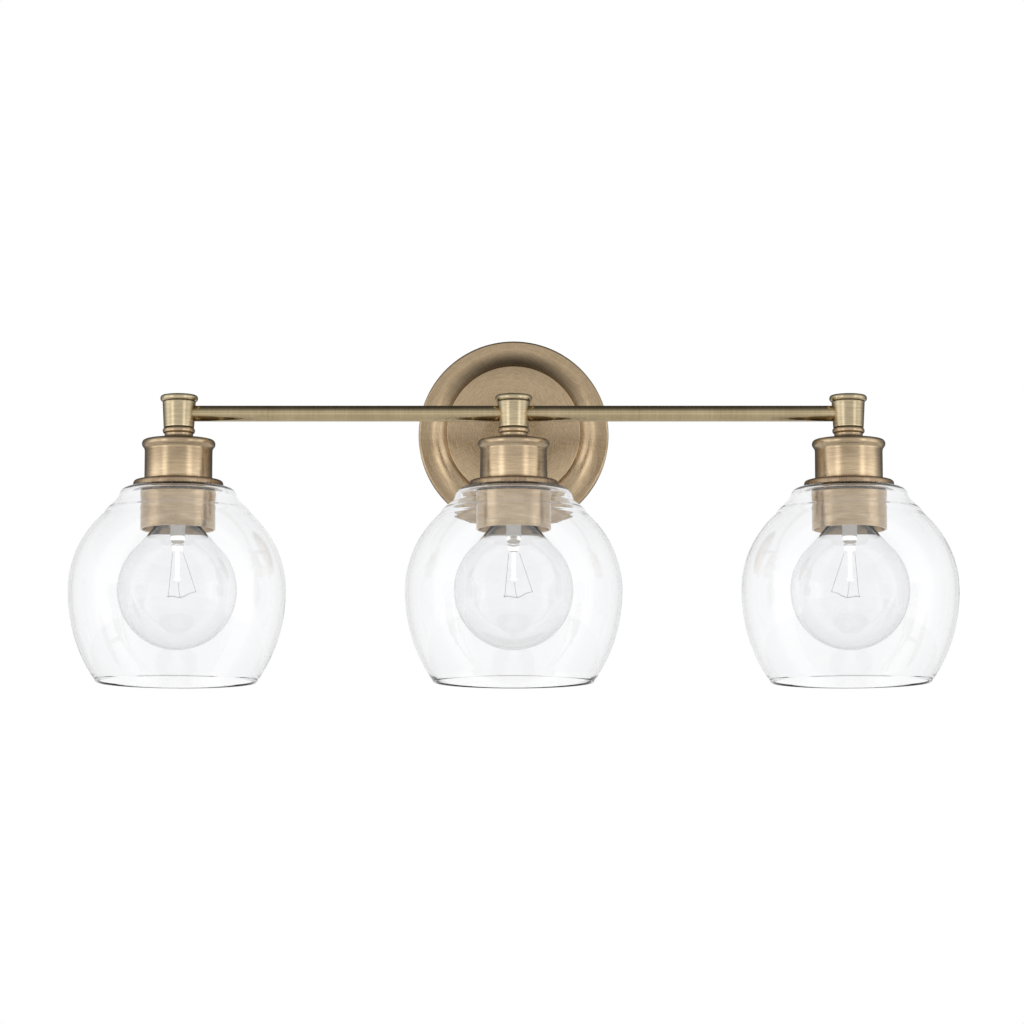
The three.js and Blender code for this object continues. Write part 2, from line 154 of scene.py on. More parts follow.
def turned(name, centre, profile, along=Z, sides=96, edge=0.2, smooth=40):
    """Draws a profile point by point and spins it round an axis.

    A profile that starts off the axis closes on itself.
    """
    across = Z if abs(along.x) > 0.5 else X
    closed = profile if profile[0][0] == 0 else [*profile, profile[0]]
    places = [centre + (across * radius + along * height) * MM for radius, height in closed]
    start_fresh()
    bpy.ops.mesh.primitive_plane_add(size=MM, location=places[0])
    piece = bpy.context.object
    bpy.ops.object.mode_set(mode="EDIT")
    bpy.ops.mesh.select_all(action="SELECT")
    bpy.ops.mesh.merge(type="CENTER")
    for here, there in zip(places, places[1:]):
        bpy.ops.mesh.extrude_region_move(TRANSFORM_OT_translate={"value": there - here})
    bpy.ops.mesh.select_all(action="SELECT")
    bpy.ops.mesh.spin(steps=sides, angle=math.tau, center=centre, axis=along)
    bpy.ops.mesh.select_all(action="SELECT")
    bpy.ops.mesh.remove_doubles(threshold=0.002 * MM)
    bpy.ops.mesh.normals_make_consistent(inside=False)
    bpy.ops.object.mode_set(mode="OBJECT")
    if edge:
        round_edges(piece, edge)
    return settle(piece, name, smooth)


def cut_thread(piece, centre, low, high, pitch, depth, nearest=0, furthest=1000):
    """Waves the skin between two heights in and out along a helix, as a rolled thread."""
    for vertex in piece.data.vertices:
        out = Vector((vertex.co.x - centre.x, vertex.co.y - centre.y, 0))
        radius, height = out.length / MM, vertex.co.z / MM
        if not (low < height < high and nearest < radius < furthest):
            continue
        turn = math.atan2(out.y, out.x) / math.tau
        fade = min(1, (height - low) / pitch, (high - height) / pitch)
        wave = math.cos(math.tau * (height / pitch - turn))
        vertex.co += out.normalized() * (wave - 1) * 0.5 * depth * fade * MM


def steps_between(radius, low, high, gap=0.45):
    """Points up a straight wall, close enough together to carry a thread."""
    count = max(1, round(abs(high - low) / gap))
    return [(radius, low + (high - low) * i / count) for i in range(count + 1)]


def wire_piece(name, routes, thickness, sides=3, smooth=True):
    """A mesh of round wires along lists of points in metres; thickness is in millimetres."""
    curve = bpy.data.curves.new(name, "CURVE")
    curve.dimensions = "3D"
    curve.bevel_depth = thickness / 2 * MM
    curve.bevel_resolution = sides
    curve.use_fill_caps = True
    for route in routes:
        spline = curve.splines.new("BEZIER" if smooth else "POLY")
        points = spline.bezier_points if smooth else spline.points
        points.add(len(route) - 1)
        for point, place in zip(points, route):
            point.co = place if smooth else (*place, 1)
            if smooth:
                point.handle_left_type = point.handle_right_type = "AUTO"
    piece = bpy.data.objects.new(name, curve)
    bpy.context.scene.collection.objects.link(piece)
    start_fresh()
    piece.select_set(True)
    bpy.context.view_layer.objects.active = piece
    bpy.ops.object.convert(target="MESH")
    return settle(bpy.context.object, name, 60)


def copied(piece, name, offset):
    """A copy with its own mesh, moved by an offset."""
    start_fresh()
    piece.select_set(True)
    bpy.context.view_layer.objects.active = piece
    bpy.ops.object.duplicate(linked=False)
    copy = bpy.context.object
    copy.location = offset
    return settle(copy, name)


def for_each_lamp(piece, name, node, finish, body=FIXTURE):
    """Copies the middle lamp's piece to the others, and puts each on its body and over its CAD node."""
    home = lamp_axis("middle")
    for lamp in LAMPS:
        if lamp == "middle":
            one = piece
            one.name = one.data.name = f"{name}_{lamp}"
        else:
            one = copied(piece, f"{name}_{lamp}", lamp_axis(lamp) - home)
        stand_for(one, f"{node}_{lamp}", finish, body.format(lamp=lamp))


def stand_for(piece, node, finish, body=FIXTURE):
    """Gives a piece its finish and puts it on a body in the place of a CAD node."""
    piece.data.materials.clear()
    piece.data.materials.append(finish)
    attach(piece, body)
    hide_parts(node)


# ---- Finishes ----------------------------------------------------------------------------


def add_node(tree, kind, inputs=None, **settings):
    """A shader node with its settings, and its inputs set or linked by name or number."""
    made = tree.nodes.new("ShaderNode" + kind)
    for key, value in settings.items():
        setattr(made, key, value)
    for key, value in (inputs or {}).items():
        connect(tree, value, made.inputs[key])
    return made


def connect(tree, value, socket):
    if isinstance(value, bpy.types.NodeSocket):
        tree.links.new(value, socket)
    else:
        socket.default_value = value


def blended(tree, share, dark, light, mode="MIX"):
    """The colour output of a colour mix."""
    mix = add_node(tree, "Mix", data_type="RGBA", blend_type=mode)
    for socket, value in zip((mix.inputs[0], mix.inputs[6], mix.inputs[7]), (share, dark, light)):
        connect(tree, value, socket)
    return mix.outputs[2]


def maths(tree, operation, *values):
    made = add_node(tree, "Math", operation=operation)
    for socket, value in zip(made.inputs, values):
        connect(tree, value, socket)
    return made.outputs[0]


def between(tree, value, low, high):
    """A value from 0 to 1 moved to a range."""
    return add_node(tree, "MapRange", {"Value": value, "To Min": low, "To Max": high}).outputs["Result"]


def new_group(name, inputs, outputs):
    """An empty node group with named sockets, and its input and output nodes."""
    group = bpy.data.node_groups.new(name, "ShaderNodeTree")
    for label, kind in inputs:
        group.interface.new_socket(label, in_out="INPUT", socket_type=kind)
    for label, kind in outputs:
        group.interface.new_socket(label, in_out="OUTPUT", socket_type=kind)
    return group, group.nodes.new("NodeGroupInput"), group.nodes.new("NodeGroupOutput")


def make_brushing():
    """Fine lines along one way, and a slow cloud that shifts the tone between them."""
    group, given, result = new_group(
        "brushing",
        [("Place", "NodeSocketVector"), ("Stretch", "NodeSocketVector")],
        [("Line", "NodeSocketFloat"), ("Cloud", "NodeSocketFloat")],
    )
    place = given.outputs["Place"]
    spread = add_node(group, "Mapping", {"Vector": place, "Scale": given.outputs["Stretch"]}).outputs[0]
    line = add_node(group, "TexNoise", {"Vector": spread, "Scale": 1, "Detail": 5, "Roughness": 0.7})
    cloud = add_node(group, "TexNoise", {"Vector": place, "Scale": 45, "Detail": 3})
    group.links.new(line.outputs["Fac"], result.inputs["Line"])
    group.links.new(cloud.outputs["Fac"], result.inputs["Cloud"])
    return group


def make_wear_and_shade():
    """Masks from ambient occlusion: corners where other surfaces are close, for patina and painted shade;
    convex edges, for rubbed wear and a painted highlight.
    """
    group, given, result = new_group(
        "wear_and_shade",
        [("Corner Width", "NodeSocketFloat"), ("Edge Width", "NodeSocketFloat")],
        [("Corner", "NodeSocketFloat"), ("Edge", "NodeSocketFloat")],
    )
    # Corners: occlusion by nearby surfaces, used for patina and painted shade.
    corner = add_node(group, "AmbientOcclusion", {"Distance": given.outputs["Corner Width"]}, samples=6)
    # Edges: occlusion from inside the solid, used for rubbed wear and a painted highlight.
    edge = add_node(
        group,
        "AmbientOcclusion",
        {"Distance": given.outputs["Edge Width"]},
        samples=6,
        inside=True,
        only_local=True,
    )
    group.links.new(maths(group, "SUBTRACT", 1, corner.outputs["AO"]), result.inputs["Corner"])
    group.links.new(maths(group, "SUBTRACT", 1, edge.outputs["AO"]), result.inputs["Edge"])
    return group


def make_grain():
    """A fine mottle in tone and height for plain plated, moulded and insulated pieces."""
    group, given, result = new_group(
        "grain",
        [("Size", "NodeSocketFloat"), ("Colour", "NodeSocketColor"), ("Depth", "NodeSocketFloat")],
        [("Colour", "NodeSocketColor"), ("Mottle", "NodeSocketFloat"), ("Normal", "NodeSocketVector")],
    )
    place = add_node(group, "TexCoord").outputs["Object"]
    fine = add_node(group, "TexNoise", {"Vector": place, "Scale": given.outputs["Size"], "Detail": 4})
    broad = add_node(group, "TexNoise", {"Vector": place, "Scale": 60, "Detail": 2})
    mottle = maths(group, "MULTIPLY", fine.outputs["Fac"], broad.outputs["Fac"])
    tone = between(group, mottle, 0.8, 1.25)
    colour = blended(group, 1.0, given.outputs["Colour"], tone, "MULTIPLY")
    bump = add_node(
        group,
        "Bump",
        {"Strength": given.outputs["Depth"], "Distance": 0.0002, "Height": fine.outputs["Fac"]},
    )
    group.links.new(colour, result.inputs["Colour"])
    group.links.new(mottle, result.inputs["Mottle"])
    group.links.new(bump.outputs[0], result.inputs["Normal"])
    return group


# Light brass for convex edges: rubbed wear, and also a painted highlight.
RUBBED_AND_HIGHLIT_BRASS = (0.80, 0.70, 0.52, 1)
# Dark brown for corners: patina, and also painted shade.
CORNER_PATINA_AND_SHADE = (0.14, 0.09, 0.05, 1)
BRUSHING = make_brushing()
WEAR_AND_SHADE = make_wear_and_shade()
GRAIN = make_grain()


def new_material(name):
    material = bpy.data.materials.new(name)
    material.use_nodes = True
    return material, material.node_tree, material.node_tree.nodes["Principled BSDF"]


def polar_place(tree, wobble):
    """Coordinates for brushing round the canopy.

    They are the distance from its middle, and the cosine and sine of the way it lies from there.
    """
    place = add_node(tree, "TexCoord").outputs["Object"]
    drift = add_node(tree, "TexNoise", {"Vector": place, "Scale": 26, "Detail": 1})
    parts = add_node(tree, "SeparateXYZ", {"Vector": place})
    flat = add_node(tree, "CombineXYZ", {"X": parts.outputs["X"], "Y": parts.outputs["Z"]}).outputs[0]
    length = add_node(tree, "VectorMath", {0: flat}, operation="LENGTH").outputs["Value"]
    way = add_node(tree, "VectorMath", {0: flat}, operation="NORMALIZE").outputs[0]
    round_it = add_node(tree, "SeparateXYZ", {"Vector": way})
    shift = maths(tree, "MULTIPLY", maths(tree, "SUBTRACT", drift.outputs["Fac"], 0.5), wobble)
    out = maths(tree, "ADD", length, shift)
    return add_node(
        tree, "CombineXYZ", {"X": out, "Y": round_it.outputs["X"], "Z": round_it.outputs["Y"]}
    ).outputs[0]


def aged_brass(name, light, dark, stretch, polar=False, line_share=0.55, rough=(0.27, 0.42)):
    """Brushed brass with a brown patina: lighter on convex edges, as rubbed wear and a painted highlight, and
    darker in corners, as patina and painted shade.
    """
    material, tree, shader = new_material(name)
    place = polar_place(tree, 0.018) if polar else add_node(tree, "TexCoord").outputs["Object"]
    brushing = add_node(tree, "Group", node_tree=BRUSHING)
    connect(tree, place, brushing.inputs["Place"])
    brushing.inputs["Stretch"].default_value = stretch
    wear_and_shade = add_node(tree, "Group", node_tree=WEAR_AND_SHADE)
    wear_and_shade.inputs["Corner Width"].default_value = 2.5 * MM
    wear_and_shade.inputs["Edge Width"].default_value = 0.8 * MM
    line, cloud = brushing.outputs["Line"], brushing.outputs["Cloud"]
    tone = maths(
        tree, "ADD", maths(tree, "MULTIPLY", line, line_share), maths(tree, "MULTIPLY", cloud, 1 - line_share)
    )
    spread = add_node(
        tree, "MapRange", {"Value": tone, "From Min": 0.38, "From Max": 0.62, "To Min": 0, "To Max": 1}
    )
    metal = blended(tree, spread.outputs["Result"], dark, light)
    # Painted shade: dark brown where other surfaces come within the corner width, which also stands for
    # patina.
    corner = maths(tree, "MULTIPLY", wear_and_shade.outputs["Corner"], 0.6)
    patinated_and_shaded = blended(tree, corner, metal, CORNER_PATINA_AND_SHADE)
    # Painted highlight: light brass on convex edges, which also stands for rubbed wear.
    edge = maths(tree, "MULTIPLY", wear_and_shade.outputs["Edge"], 0.5)
    worn_and_highlit = blended(tree, edge, patinated_and_shaded, RUBBED_AND_HIGHLIT_BRASS)
    tree.links.new(worn_and_highlit, shader.inputs["Base Color"])
    tree.links.new(between(tree, tone, *rough), shader.inputs["Roughness"])
    bump = add_node(tree, "Bump", {"Strength": 0.12, "Distance": 0.00015, "Height": line})
    tree.links.new(bump.outputs[0], shader.inputs["Normal"])
    shader.inputs["Metallic"].default_value = 1
    shader.inputs["Coat Weight"].default_value = 0.12
    shader.inputs["Coat Roughness"].default_value = 0.18
    return material


def clear_glass(name, colour, waves, wave_size, ior=1.5, painted_glow=0.0):
    """Clear glass whose skin is very slightly uneven, with faint wiped marks.

    The marks stay almost perfectly sharp, so that the glass keeps mirroring its own room. The painted
    glow is light given off by glass that no lamp lights, so that it reads pale where it would be dark.
    """
    material, tree, shader = new_material(name)
    place = add_node(tree, "TexCoord").outputs["Object"]
    swell = add_node(tree, "TexNoise", {"Vector": place, "Scale": wave_size, "Detail": 1})
    marks = add_node(tree, "TexNoise", {"Vector": place, "Scale": 30, "Detail": 5, "Roughness": 0.65})
    smear = add_node(
        tree,
        "MapRange",
        {"Value": marks.outputs["Fac"], "From Min": 0.6, "From Max": 0.8, "To Min": 0.0, "To Max": 0.004},
    )
    bump = add_node(tree, "Bump", {"Strength": 1, "Distance": waves, "Height": swell.outputs["Fac"]})
    tint = blended(tree, marks.outputs["Fac"], colour, (1, 1, 1, 1))
    tree.links.new(tint, shader.inputs["Base Color"])
    tree.links.new(smear.outputs["Result"], shader.inputs["Roughness"])
    tree.links.new(bump.outputs[0], shader.inputs["Normal"])
    tree.links.new(tint, shader.inputs["Emission Color"])
    shader.inputs["Emission Strength"].default_value = painted_glow
    shader.inputs["Transmission Weight"].default_value = 1
    shader.inputs["IOR"].default_value = ior
    return material


def plain_finish(name, colour, metallic, rough, size=900, depth=0.15):
    """Plating, moulding or insulation with a fine mottle."""
    material, tree, shader = new_material(name)
    grain = add_node(tree, "Group", node_tree=GRAIN)
    grain.inputs["Size"].default_value = size
    grain.inputs["Colour"].default_value = colour
    grain.inputs["Depth"].default_value = depth
    tree.links.new(grain.outputs["Colour"], shader.inputs["Base Color"])
    tree.links.new(between(tree, grain.outputs["Mottle"], *rough), shader.inputs["Roughness"])
    tree.links.new(grain.outputs["Normal"], shader.inputs["Normal"])
    shader.inputs["Metallic"].default_value = metallic
    return material


# How much finer the brushing is along each axis.
CUP_BRUSHING = (90, 90, 1500)
BAR_BRUSHING = (1300, 60, 60)
RING_BRUSHING = (500, 500, 20)
PLATE_BRUSHING = (1500, 7, 7)

cup_brass = aged_brass(
    "cup_brass", (0.66, 0.51, 0.335, 1), (0.44, 0.33, 0.205, 1), CUP_BRUSHING, rough=(0.16, 0.3)
)
hub_brass = aged_brass(
    "hub_brass", (0.72, 0.60, 0.39, 1), (0.48, 0.39, 0.25, 1), CUP_BRUSHING, rough=(0.17, 0.3)
)
bar_brass = aged_brass(
    "bar_brass", (0.62, 0.50, 0.30, 1), (0.47, 0.375, 0.22, 1), BAR_BRUSHING, rough=(0.14, 0.26)
)
ring_brass = aged_brass(
    "ring_brass", (0.52, 0.385, 0.25, 1), (0.36, 0.25, 0.16, 1), RING_BRUSHING, rough=(0.2, 0.34)
)
plate_brass = aged_brass(
    "plate_brass",
    (0.61, 0.465, 0.295, 1),
    (0.46, 0.335, 0.205, 1),
    PLATE_BRUSHING,
    polar=True,
    line_share=0.8,
    rough=(0.18, 0.34),
)
shade_glass = clear_glass("shade_glass_clear", (0.985, 0.99, 1.0, 1), 0.00012, 26)
bulb_glass = clear_glass("bulb_glass_clear", (0.985, 0.99, 0.995, 1), 0.00002, 40)
# The stem's glass gets a painted glow, so that it reads pale inside the dark collar and socket.
stem_glass = clear_glass("stem_glass_clear", (0.95, 0.96, 0.95, 1), 0.0001, 160, ior=1.25, painted_glow=0.16)
insulator_grey = plain_finish("insulator_grey", (0.30, 0.30, 0.27, 1), 0.5, (0.35, 0.6))
contact_brass = plain_finish("contact_brass", (0.72, 0.56, 0.28, 1), 1, (0.2, 0.4))
cap_nickel = plain_finish("cap_nickel", (0.62, 0.60, 0.56, 1), 1, (0.2, 0.38))
filament_metal = plain_finish("filament_wire", (0.42, 0.40, 0.38, 1), 1, (0.3, 0.5), size=2500)
zinc_steel = plain_finish("zinc_steel", (0.58, 0.59, 0.58, 1), 1, (0.25, 0.5), size=500)
green_dip = plain_finish("green_dip", (0.05, 0.24, 0.10, 1), 0.4, (0.3, 0.5))
black_sleeve = plain_finish("black_sleeve", (0.02, 0.02, 0.02, 1), 0, (0.4, 0.6))
white_sleeve = plain_finish("white_sleeve", (0.72, 0.71, 0.67, 1), 0, (0.4, 0.6))
bare_copper = plain_finish("bare_copper", (0.72, 0.36, 0.20, 1), 1, (0.25, 0.45))


# ---- The brass of a lamp -----------------------------------------------------------------

HOME = lamp_axis("middle")


def make_hub():
    """A drum that is slightly wider at its top, hollow for the wires."""
    radius, bottom, top = turned_size("hub_middle")
    bore, floor = 7.2, bottom + 3
    profile = [
        (WIRE_HOLE, bottom),
        (radius - 0.9, bottom),
        *sweep(
            (radius - 0.85, bottom + 1), (radius - 0.6, bottom + 6), (radius - 0.35, top - 7), (radius, top)
        ),
        (bore, top),
        (bore, floor),
        (WIRE_HOLE, floor),
    ]
    return turned("brass_hub", HOME, profile, edge=0.25)


def make_cap():
    """A button that overhangs the hub, with a full round rim and a low crown."""
    radius, bottom, top = turned_size("hub_cap_middle")
    under = bottom + 2.2
    half = (top - under) / 2
    profile = [
        (0, bottom),
        (6.8, bottom),
        (6.8, under),
        *arc((radius - 1.5, under + half), (1.5, half), -90, 80, 14),
        *sweep(
            (radius - 1.6, top - 0.04), (radius - 3, top - 0.3), (radius - 4, top - 0.35), (0, top - 0.2)
        ),
    ]
    return turned("brass_cap", HOME, profile, edge=0)


def make_neck():
    """The bead under the hub and the waist below it."""
    radius, bottom, top = turned_size("neck_ring_middle")
    waist, bead = radius - 1.3, 1.95
    profile = [
        (WIRE_HOLE, bottom),
        (waist + 0.5, bottom),
        *sweep(
            (waist + 0.4, bottom + 0.15),
            (waist, bottom + 0.5),
            (waist, top - 4.4),
            (waist + 0.1, top - 3.95),
            6,
        ),
        *arc((radius - bead + 0.55, top - bead), (bead - 0.55, bead), -80, 84, 14),
        (WIRE_HOLE, top),
    ]
    return turned("brass_neck", HOME, profile, edge=0)


def make_cup():
    """The cup over the socket: a shallow shoulder, a rolled bulge, a cove and a straight body."""
    bulge, bottom, top = turned_size("socket_cup_middle")
    body, wall, roll = bulge - 1.9, 1.2, top - 4.5
    outside = [
        (body, bottom),
        *sweep((body, top - 10), (body, top - 8.6), (body + 0.1, top - 7.9), (body + 0.7, top - 7.1), 6),
        *arc((bulge - 2.0, roll), (2.0, 2.6), -50, 80, 12),
        *sweep((bulge - 3.0, roll + 2.7), (17, top - 1.1), (13, top - 0.6), (10.1, top), 10),
        (WIRE_HOLE, top),
    ]
    inside = [
        (WIRE_HOLE, top - wall),
        (9.8, top - wall),
        *sweep((14, top - 1.9), (18, top - 2.3), (20, top - 2.7), (21.2, roll + 1.4), 5),
        *arc((bulge - 2.6, roll), (1.4, 1.8), 60, -60, 6),
        (body - wall, top - 9),
        (body - wall, bottom),
    ]
    return turned("brass_cup", HOME, [*outside, *inside], edge=0.12)


def make_flange():
    """The ring that the glass is drawn up against, with a domed edge."""
    radius, bottom, top = turned_size("shade_flange_middle")
    bore = 20.4
    profile = [
        (bore, bottom),
        *sweep(
            (radius - 0.5, bottom), (radius - 0.1, bottom), (radius, bottom + 0.2), (radius, bottom + 0.7), 5
        ),
        *sweep((radius, bottom + 0.8), (radius, top - 0.5), (radius - 0.8, top), (radius - 2.2, top), 10),
        (bore, top),
    ]
    return turned("brass_flange", HOME, profile, edge=0)


def make_collar():
    """The threaded ring under the glass, with a thin skirt round the bulb's neck."""
    radius, bottom, top = turned_size("collar_middle")
    thread, skirt, thread_end = 20.6, radius - 1.25, top - 6.9
    profile = [
        (skirt, bottom),
        (radius, bottom),
        (radius, top),
        *steps_between(thread, top, thread_end),
        (skirt, thread_end - 2),
    ]
    piece = turned("brass_collar", HOME, profile, edge=0.2)
    cut_thread(piece, HOME, thread_end, top, COLLAR_PITCH, -0.3, furthest=thread + 0.3)
    return piece


# ---- The glass shade -----------------------------------------------------------------------


def bowl(neck, steps):
    """The outer face of the bowl from the rim to the neck: a squashed ball over an egg."""
    radius, rim, top = turned_size("shade_middle")
    wide, upper, lower = top - 68.5, 69.2, 89
    rim_angle = math.degrees(math.asin((rim + 1.25 - wide) / lower))
    neck_angle = math.degrees(math.asin((neck - wide) / upper))
    below = arc((0, wide), (radius, lower), rim_angle, 0, steps)
    above = arc((0, wide), (radius, upper), 0, neck_angle, steps)
    return [*below[:-1], *above]


# The shade's shoulder going up, below its top.
SHOULDER = [
    (46.9, -14.9), (44.5, -12.6), (42.6, -10.8), (41.1, -9.3), (40, -7.9), (39.2, -6.5),
    (38.7, -5), (38.1, -3.6), (37, -2.1), (35.2, -0.9), (33, -0.2), (30.8, 0),
]


def inset(points, wall):
    """The same curve moved sideways by a wall's thickness, to the side of the axis."""
    moved = []
    for before, here, after in zip([points[0], *points], points, [*points[1:], points[-1]]):
        along = Vector((after[0] - before[0], after[1] - before[1])).normalized()
        moved.append((here[0] - along.y * wall, here[1] + along.x * wall))
    return moved


def make_shade():
    """The shade: one wall all over, flat round its hole, with a full round rim."""
    top = turned_size("shade_middle")[2]
    hole = 21.3
    bowl_face = bowl(top - 18.1, 22)
    outside = [*bowl_face[:-1], *through([bowl_face[-1], *[(r, top + h) for r, h in SHOULDER]])]
    inside = inset(outside, GLASS_WALL)
    foot = outside[0]
    lip = inside[0] = (foot[0] - GLASS_WALL, foot[1])
    rolled_rim = arc(((foot[0] + lip[0]) / 2, foot[1]), (GLASS_WALL / 2, 1.25), 180, 360, 8)[1:-1]
    profile = [*outside, (hole, top), (hole, top - GLASS_WALL), *reversed(inside), *rolled_rim]
    return turned("glass_shade", HOME, profile, sides=128, edge=0, smooth=60)


# ---- The bulb ------------------------------------------------------------------------------


def bulb_face(thick, steps):
    """One face of the globe, from its lowest point to where its neck starts."""
    radius, low, _ = turned_size("bulb_envelope_middle")
    ball = radius - thick
    return arc((0, low + radius), (ball, ball), -90, 46, steps)


def make_globe():
    """The bulb's thin globe and its neck, open at the top for the base."""
    high = turned_size("bulb_envelope_middle")[2]
    throat = high - 1.8
    outer, inner = bulb_face(0, 40), bulb_face(BULB_WALL, 40)
    neck = sweep(outer[-1], (22.4, throat - 13), (15.2, throat - 4.6), (13, throat - 1), 12)[1:]
    hollow_neck = sweep(inner[-1], (21.6, throat - 13.2), (14.2, throat - 4.8), (11.9, throat - 1.4), 12)[1:]
    mouth = [(11.9, throat), (11.9, high), (11.1, high), (11.1, throat - 0.6)]
    profile = [*outer, *neck, *mouth, *reversed(hollow_neck), *reversed(inner)]
    profile[0] = (0, profile[0][1])
    profile[-1] = (0, profile[-1][1])
    return turned("bulb_globe", HOME, profile, sides=112, edge=0, smooth=60)


def make_screw_base():
    """The bulb's screw base: a rolled thread, a black glass ring and the tip."""
    radius, low, high = turned_size("bulb_base_middle")
    bore, roof = radius - 0.7, high - 7.8
    profile = [
        (0, roof),
        (bore, roof),
        (bore, low),
        (radius - 0.15, low),
        (radius - 0.15, low + 2),
        *steps_between(radius, low + 2.6, high - 5.4),
        *sweep(
            (radius - 0.4, high - 5), (radius - 1.4, high - 3.6), (9.6, high - 3.2), (8.6, high - 3.1), 6
        ),
        (5.2, high - 1.6),
        (3.4, high - 1.3),
        *arc((0, high - 1.2), (3.2, 1.2), 20, 90, 6),
    ]
    piece = turned("bulb_base", HOME, profile, sides=72, edge=0.1)
    cut_thread(piece, HOME, low + 2.6, high - 5.4, BULB_PITCH, 1.1, nearest=radius - 0.3)
    return piece


def make_stem():
    """The glass stem: a flare inside the neck, a tube, a flattened pinch and a rod with a button."""
    _, low, high = turned_size("bulb_stem_middle")
    pinch = low + 20.2
    profile = [
        (0, low),
        *arc((0, low + 1), (2.9, 1), -70, 60, 8),
        (1.6, low + 2),
        (1.35, low + 3.6),
        (1.35, pinch - 1.6),
        *sweep((1.5, pinch - 1), (2.5, pinch - 0.6), (3.6, pinch - 0.5), (3.9, pinch + 0.5), 5),
        (3.9, pinch + 3),
        *sweep((4, pinch + 4), (4.5, pinch + 4.8), (4.95, pinch + 5.4), (5, pinch + 6.6), 5),
        (5, high - 6),
        *sweep((5, high - 5.2), (5.3, high - 3.4), (7.4, high - 1.5), (10.3, high - 1.2), 6),
        (10.3, high),
        (0, high),
    ]
    piece = turned("bulb_stem", HOME, profile, sides=48, edge=0, smooth=50)
    for vertex in piece.data.vertices:
        height = vertex.co.z / MM - pinch
        if -2 < height < 6:
            squeeze = 0.42 + 0.58 * (abs(height - 2) / 4) ** 2
            vertex.co.y = HOME.y + (vertex.co.y - HOME.y) * min(1, squeeze)
    return piece


# Across each lamp, and below the pinch: the two lead wires, the support wire and the filament.
LEFT_LEAD = [(-3.3, 0), (-4.1, -9), (-4.9, -18), (-5.6, -26), (-6.1, -28.4), (-6.6, -29)]
RIGHT_LEAD = [(3.8, 0), (6.9, -9), (9.9, -18), (12.2, -25), (12.5, -25.8)]
SUPPORT = [(0.6, -19.2), (1.1, -24), (2.2, -29.2), (2.6, -29.5)]
FILAMENT = [(-6.4, -29), (-4, -28.4), (-0.8, -29.1), (2.4, -29.5), (5.4, -28.3), (8.1, -26.7), (12.3, -25.5)]


def along_route(route, share):
    """A point on a list of points, by its share of the steps."""
    step = min(int(share * (len(route) - 1)), len(route) - 2)
    rest = share * (len(route) - 1) - step
    return [route[step][k] + (route[step + 1][k] - route[step][k]) * rest for k in (0, 1)]


def make_bulb_wires(lamp):
    """Two lead wires, a support wire, and a coiled filament slung between them."""
    axis = lamp_axis(lamp)
    pinch_foot = turned_size(f"bulb_filament_{lamp}")[2]
    mirror = -1 if lamp == "right" else 1

    def place(across, drop, forward=0):
        return axis + Vector((mirror * across, -forward, pinch_foot + drop)) * MM

    leads = [[place(*point) for point in route] for route in (LEFT_LEAD, RIGHT_LEAD, SUPPORT)]
    turns, per_turn, coil = 60, 8, 0.26
    thread = []
    for i in range(turns * per_turn + 1):
        across, drop = along_route(FILAMENT, i / (turns * per_turn))
        angle = math.tau * i / per_turn
        thread.append(place(across, drop + coil * math.sin(angle), coil * math.cos(angle)))
    wires = wire_piece(f"bulb_leads_{lamp}", leads, 0.27)
    coil_piece = wire_piece(f"bulb_coil_{lamp}", [thread], 0.13, sides=1, smooth=False)
    start_fresh()
    coil_piece.select_set(True)
    wires.select_set(True)
    bpy.context.view_layer.objects.active = wires
    bpy.ops.object.join()
    wires.name = wires.data.name = f"bulb_wires_{lamp}"
    return wires


# ---- Inside the cup --------------------------------------------------------------------------


def make_socket():
    """The insulator: threaded outside for the collar, with the bore for the bulb's base."""
    radius, bottom, top = turned_size("socket_body_middle")
    bore, web, seat, thread_end = 14.3, top - 15, top - 24, bottom + 8.5
    profile = [
        (bore, bottom),
        (radius - 2.5, bottom),
        (radius - 2.5, thread_end - 0.8),
        *steps_between(radius, thread_end, top - 6),
        (radius - 2.5, top - 1.5),
        (radius - 6, top),
        (WIRE_HOLE, top),
        (WIRE_HOLE, top - 6),
        (9, top - 8),
        (9, web),
        (2.7, web),
        (2.7, seat),
        (bore, seat),
    ]
    piece = turned("socket_insulator", HOME, profile, sides=72, edge=0.2)
    cut_thread(piece, HOME, thread_end, top - 6, COLLAR_PITCH, COLLAR_THREAD, nearest=radius - 0.1)
    return piece


def make_shell():
    """The screw shell that takes the bulb's thread."""
    radius, bottom, top = turned_size("screw_shell_middle")
    thick, flange = 0.45, 6
    profile = [
        *reversed(steps_between(radius - thick, bottom, top - thick)),
        *steps_between(radius, bottom, top),
        (flange, top),
        (flange, top - thick),
    ]
    return turned("screw_shell", HOME, profile, sides=72, edge=0)


def make_contact():
    """The domed contact in the middle of the shell."""
    radius, bottom, top = turned_size("centre_contact_middle")
    profile = [
        (0, bottom),
        *sweep((1.6, bottom), (2.4, bottom), (3, bottom + 0.6), (radius, top - 0.5), 6),
        (radius, top),
        (0, top),
    ]
    return turned("centre_contact", HOME, profile, sides=40, edge=0.08)


def make_nipple():
    """The threaded tube that ties a lamp's pieces together."""
    radius, bottom, top = turned_size("nipple_middle")
    profile = [(3.2, bottom), *steps_between(radius, bottom, top, 0.3), (3.2, top)]
    piece = turned("nipple_tube", HOME, profile, sides=48, edge=0)
    cut_thread(piece, HOME, bottom - 0.5, top + 0.5, NIPPLE_PITCH, 0.4, nearest=radius - 0.1)
    return piece


# ---- Bars, arm, canopy and what holds them ---------------------------------------------------


def make_tube(name, node, along):
    """A plain drawn tube in the place of a CAD one."""
    low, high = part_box(node)
    centre = (low + high) / 2
    length = (high - low).dot(along) / MM
    radius = min(high - low) / 2 / MM
    bore = radius - 1
    profile = [(bore, -length / 2), (radius, -length / 2), (radius, length / 2), (bore, length / 2)]
    return turned(name, centre, profile, along=along, sides=64, edge=0.15)


